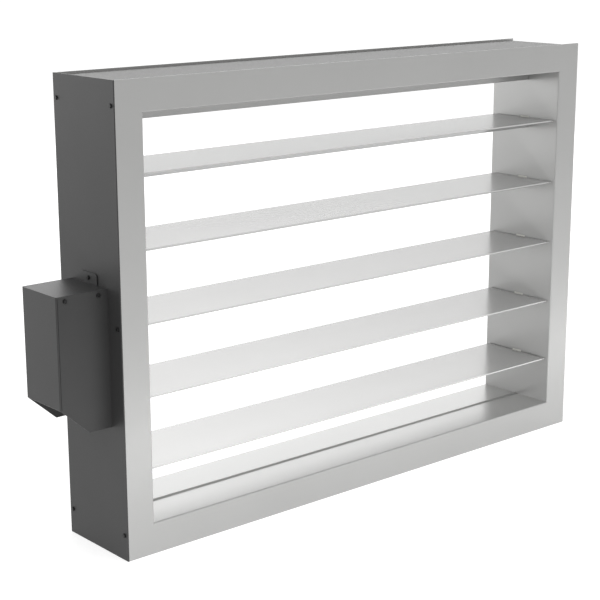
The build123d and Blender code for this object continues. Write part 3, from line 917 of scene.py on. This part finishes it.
@dataclass
class ClampBolts:
    """The clamp's two bolts, with chamfered heads, nuts and thread ends."""

    spread: float = 11.5
    radius: float = 2.5
    thread_chamfer: float = 0.4
    overhang: float = 1.5
    nut_reach: float = 4.6
    nut_height: float = 4.0
    nut_chamfer: float = 0.5
    crown_share: float = 0.87

    def build(self) -> None:
        """Make the bolts in the place of their solids."""
        low, high = box_of("clamp_bolts")
        middle = (low + high) / 2
        nut_low = low.z + self.overhang
        head_low = high.z - self.nut_height
        crown = (self.nut_reach - self.nut_chamfer) * self.crown_share
        head = [
            Ring(Shape.HEXAGON, self.nut_reach, head_low),
            Ring(Shape.HEXAGON, self.nut_reach, high.z - self.nut_chamfer),
            Ring(Shape.ROUND, crown, high.z),
        ]
        thread = [
            Ring(Shape.ROUND, self.radius - self.thread_chamfer, low.z),
            Ring(Shape.ROUND, self.radius, low.z + self.thread_chamfer),
            Ring(Shape.ROUND, self.radius, head_low + self.nut_chamfer),
        ]
        nut = [
            Ring(Shape.ROUND, crown, nut_low),
            Ring(Shape.HEXAGON, self.nut_reach, nut_low + self.nut_chamfer),
            Ring(Shape.HEXAGON, self.nut_reach, nut_low + self.nut_height),
        ]
        places = [Matrix.Translation(Vector((middle.x, side * self.spread, 0)) * MM) for side in (-1, 1)]
        stacks = [(rings, place) for place in places for rings in (head, thread, nut)]
        dressed("clamp_bolts", stacked("clamp_bolts", stacks), PLATED_STEEL)


@dataclass
class CableGland:
    """The cable gland: hexagon collar, ribbed nozzle and blank mouth."""

    collar_height: float = 4.0
    collar_chamfer: float = 0.6
    collar_foot_share: float = 0.84
    nozzle_reach: float = 4.5
    ribs: int = 4
    rib_depth: float = 0.5
    groove_share: float = 0.45
    crest_share: float = 0.5
    tip_height: float = 1.0
    tip_chamfer: float = 0.4
    mouth_reach: float = 2.5

    def build(self) -> None:
        """Make the gland in the place of its solid."""
        low, high = box_of("cable_gland")
        middle = (low + high) / 2
        collar = (high.x - low.x) / 2
        under = high.z - self.collar_height
        groove = self.nozzle_reach - self.rib_depth
        pitch = (under - low.z - self.tip_height) / self.ribs
        rings = [
            Ring(Shape.HEXAGON, collar, high.z),
            Ring(Shape.HEXAGON, collar, under + self.collar_chamfer),
            Ring(Shape.ROUND, collar * self.collar_foot_share, under),
        ]
        for i in range(self.ribs):
            start = under - pitch * i
            rings += [
                Ring(Shape.ROUND, groove, start),
                Ring(Shape.ROUND, groove, start - pitch * self.groove_share),
                Ring(Shape.ROUND, self.nozzle_reach, start - pitch * self.crest_share),
                Ring(Shape.ROUND, self.nozzle_reach, start - pitch),
            ]
        rings += [
            Ring(Shape.ROUND, self.nozzle_reach - self.tip_chamfer, low.z),
            Ring(Shape.ROUND, self.mouth_reach, low.z),
            Ring(Shape.ROUND, self.mouth_reach, under),
        ]
        place = Matrix.Translation(Vector((middle.x, middle.y, 0)) * MM)
        dressed("cable_gland", stacked("cable_gland", [(rings, place)], LARGE_RING), GLAND_RUBBER)


@dataclass
class Actuator:
    """The rotary actuator inside the box: case, clamp, bracket, button and cable gland."""

    metal_edge: float = 0.3
    panel_width: float = 34.0
    panel_height: float = 24.0
    panel_rise: float = 0.4
    panel_drop: float = 60.0
    button_chamfer: float = 0.8

    def panel(self, face: float, axis: float) -> None:
        """Set the blank panel on the case, below the shaft.

        Args:
            face: The place of the case's outer face along X, in millimetres.
            axis: The height of the shaft's axis.
        """
        half = self.panel_width / 2
        top = axis - self.panel_drop + self.panel_height / 2
        low = Vector((face - self.panel_rise, -half, top - self.panel_height))
        high = Vector((face + self.panel_rise, half, top))
        mesh = slab("blank_panel", low, high, self.panel_rise / 2)
        finished("blank_panel", mesh, DIE_CAST, "casing")

    def button(self) -> None:
        """Make the release button, its lower edge chamfered."""
        low, high = box_of("release_button")
        middle = (low + high) / 2
        reach = (high.x - low.x) / 2
        rings = [
            Ring(Shape.ROUND, reach - self.button_chamfer, low.z),
            Ring(Shape.ROUND, reach, low.z + self.button_chamfer),
            Ring(Shape.ROUND, reach, high.z),
        ]
        place = Matrix.Translation(Vector((middle.x, middle.y, 0)) * MM)
        dressed("release_button", stacked("release_button", [(rings, place)], LARGE_RING), BUTTON_ABS)

    def build(self, screws: Screws) -> None:
        """Dress the actuator.

        Args:
            screws: The screws that hold its bracket.
        """
        low, high = box_of("actuator_case")
        clamp_low, clamp_high = box_of("actuator_clamp")
        axis = (clamp_low.z + clamp_high.z) / 2
        dress_node("actuator_case", CASE_ABS)
        LidScrews().build(low, high)
        self.panel(low.x, axis)
        Dial().build(low.x, clamp_low.x, axis)
        soften_node("actuator_clamp", DIE_CAST, self.metal_edge)
        ClampBolts().build()
        dress_node("drive_shaft", PLATED_STEEL)
        soften_node("actuator_bracket", PLATED_STEEL, self.metal_edge)
        screws.build("bracket_screws", PLATED_STEEL)
        self.button()
        CableGland().build()


# ---- studio ----
@dataclass(frozen=True)
class SoftBox:
    """A soft lamp: where it hangs, what it faces and how wide and high it is, all in metres.

    Its radiance is how bright its face is, and in_mirrors says whether shiny surfaces show that face.
    """

    name: str
    place: tuple[float, float, float]
    target: tuple[float, float, float]
    size: tuple[float, float]
    radiance: float
    in_mirrors: bool = True

    def build(self) -> None:
        """Hang the lamp."""
        light = bpy.data.lights.new(self.name, "AREA")
        light.shape = "RECTANGLE"
        light.size, light.size_y = self.size
        light.energy = self.radiance * pi * self.size[0] * self.size[1]
        lamp = bpy.data.objects.new(self.name, light)
        bpy.context.scene.collection.objects.link(lamp)
        lamp.location = self.place
        lamp.visible_camera = False
        lamp.visible_glossy = self.in_mirrors
        aim = Vector(self.target) - Vector(self.place)
        lamp.rotation_mode = "QUATERNION"
        lamp.rotation_quaternion = aim.to_track_quat("-Z", "Y")


@dataclass
class Studio:
    """A pale floor, soft lamps, an even sky and the camera.

    The camera's place, lens and sensor are millimetres and its angles degrees. The floor is in metres.
    """

    camera_place: tuple[float, float, float] = (-1256.35, -1422.3, 716.5)
    yaw: float = 40.557
    pitch: float = 13.987
    roll: float = -0.156
    lens: float = 90.26
    sensor: float = 36.0
    floor_size: float = 60.0
    floor_colour: str = "#c8c8c8"
    floor_lift: float = 0.62
    sky_strength: float = 0.8
    lamps: tuple[SoftBox, ...] = (
        SoftBox("lamp_above", place=(-0.3, -0.1, 2.6), target=(0.0, 0.0, 0.1),
                size=(2.0, 2.0), radiance=0.55),
        SoftBox("lamp_low_behind", place=(2.3, 2.6, 0.42), target=(0.0, 0.0, 0.3),
                size=(4.4, 0.8), radiance=0.5),
        SoftBox("lamp_high_behind", place=(1.8, 2.6, 1.85), target=(0.0, 0.0, 0.1),
                size=(3.4, 1.5), radiance=2.3),
        SoftBox("lamp_left_behind", place=(-1.6, 2.2, 0.8), target=(0.3, 0.0, 0.3),
                size=(1.6, 1.2), radiance=2.1),
        SoftBox("lamp_low_front", place=(0.0, -0.42, 0.05), target=(0.0, 0.0, 0.05),
                size=(2.4, 0.08), radiance=8.2, in_mirrors=False),
    )

    def shown_white(self, tree: bpy.types.NodeTree) -> bpy.types.NodeSocket:
        """Return 1 for rays that show the backdrop to the eye, in a mirror or through glass."""
        path = add_node(tree, "ShaderNodeLightPath").outputs
        either = add_node(tree, "ShaderNodeMath", {"operation": "MAXIMUM"},
                          {0: path["Is Camera Ray"], 1: path["Is Glossy Ray"]}).outputs[0]
        return add_node(tree, "ShaderNodeMath", {"operation": "MAXIMUM"},
                        {0: either, 1: path["Is Transmission Ray"]}).outputs[0]

    def floor(self) -> None:
        """Lay the pale floor."""
        half = self.floor_size / 2
        mesh = bpy.data.meshes.new("floor")
        mesh.from_pydata([(-half, -half, 0), (half, -half, 0), (half, half, 0), (-half, half, 0)], [],
                         [(0, 1, 2, 3)])
        floor = bpy.data.objects.new("floor", mesh)
        bpy.context.scene.collection.objects.link(floor)
        paper = bpy.data.materials.new("backdrop_paper")
        paper.use_nodes = True
        tree = paper.node_tree
        tree.nodes.clear()
        matt = add_node(tree, "ShaderNodeBsdfDiffuse", inputs={"Color": linear(self.floor_colour)})
        lift = add_node(tree, "ShaderNodeMath", {"operation": "MULTIPLY"},
                        {0: self.shown_white(tree), 1: self.floor_lift}).outputs[0]
        glow = add_node(tree, "ShaderNodeEmission", inputs={"Color": (1, 1, 1, 1), "Strength": lift})
        both = add_node(tree, "ShaderNodeAddShader",
                        inputs={0: matt.outputs["BSDF"], 1: glow.outputs["Emission"]})
        add_node(tree, "ShaderNodeOutputMaterial", inputs={"Surface": both.outputs["Shader"]})
        mesh.materials.append(paper)

    def sky(self) -> None:
        """Light the scene evenly, with white where the backdrop is seen."""
        world = bpy.data.worlds.new("studio")
        world.use_nodes = True
        tree = world.node_tree
        tree.nodes.clear()
        strength = add_node(tree, "ShaderNodeMapRange", inputs={
            "Value": self.shown_white(tree), "To Min": self.sky_strength, "To Max": 1.0,
        }).outputs["Result"]
        light = add_node(tree, "ShaderNodeBackground", inputs={"Color": (1, 1, 1, 1), "Strength": strength})
        add_node(tree, "ShaderNodeOutputWorld", inputs={"Surface": light.outputs["Background"]})
        bpy.context.scene.world = world

    def camera(self) -> None:
        """Set the camera up, aimed by its yaw from +Y, its pitch downwards and its slight roll."""
        yaw, pitch, roll = (radians(a) for a in (self.yaw, self.pitch, self.roll))
        ahead = Vector((sin(yaw) * cos(pitch), cos(yaw) * cos(pitch), -sin(pitch)))
        level = Vector((cos(yaw), -sin(yaw), 0))
        up = level.cross(ahead)
        right = level * cos(roll) + up * sin(roll)
        top = up * cos(roll) - level * sin(roll)
        turn = Matrix((right, top, -ahead)).transposed()
        lens = bpy.data.cameras.new("camera")
        lens.lens = self.lens
        lens.sensor_width = self.sensor
        camera = bpy.data.objects.new("camera", lens)
        bpy.context.scene.collection.objects.link(camera)
        camera.matrix_world = Matrix.Translation(Vector(self.camera_place) * MM) @ turn.to_4x4()
        bpy.context.scene.camera = camera

    def build(self) -> None:
        """Build the floor, the sky, the lamps and the camera."""
        self.floor()
        self.sky()
        for lamp in self.lamps:
            lamp.build()
        self.camera()
        bpy.context.scene.view_settings.view_transform = "Standard"


def main() -> None:
    """Build the studio and dress every part."""
    logging.basicConfig(level=logging.INFO, format="%(message)s")
    Studio().build()
    screws = Screws()
    Casing().build()
    for number in blade_numbers():
        Blade(number).build()
    SideCover().build(screws)
    DriveBox().build(screws)
    Actuator().build(screws)


if __name__ == "__main__":
    main()
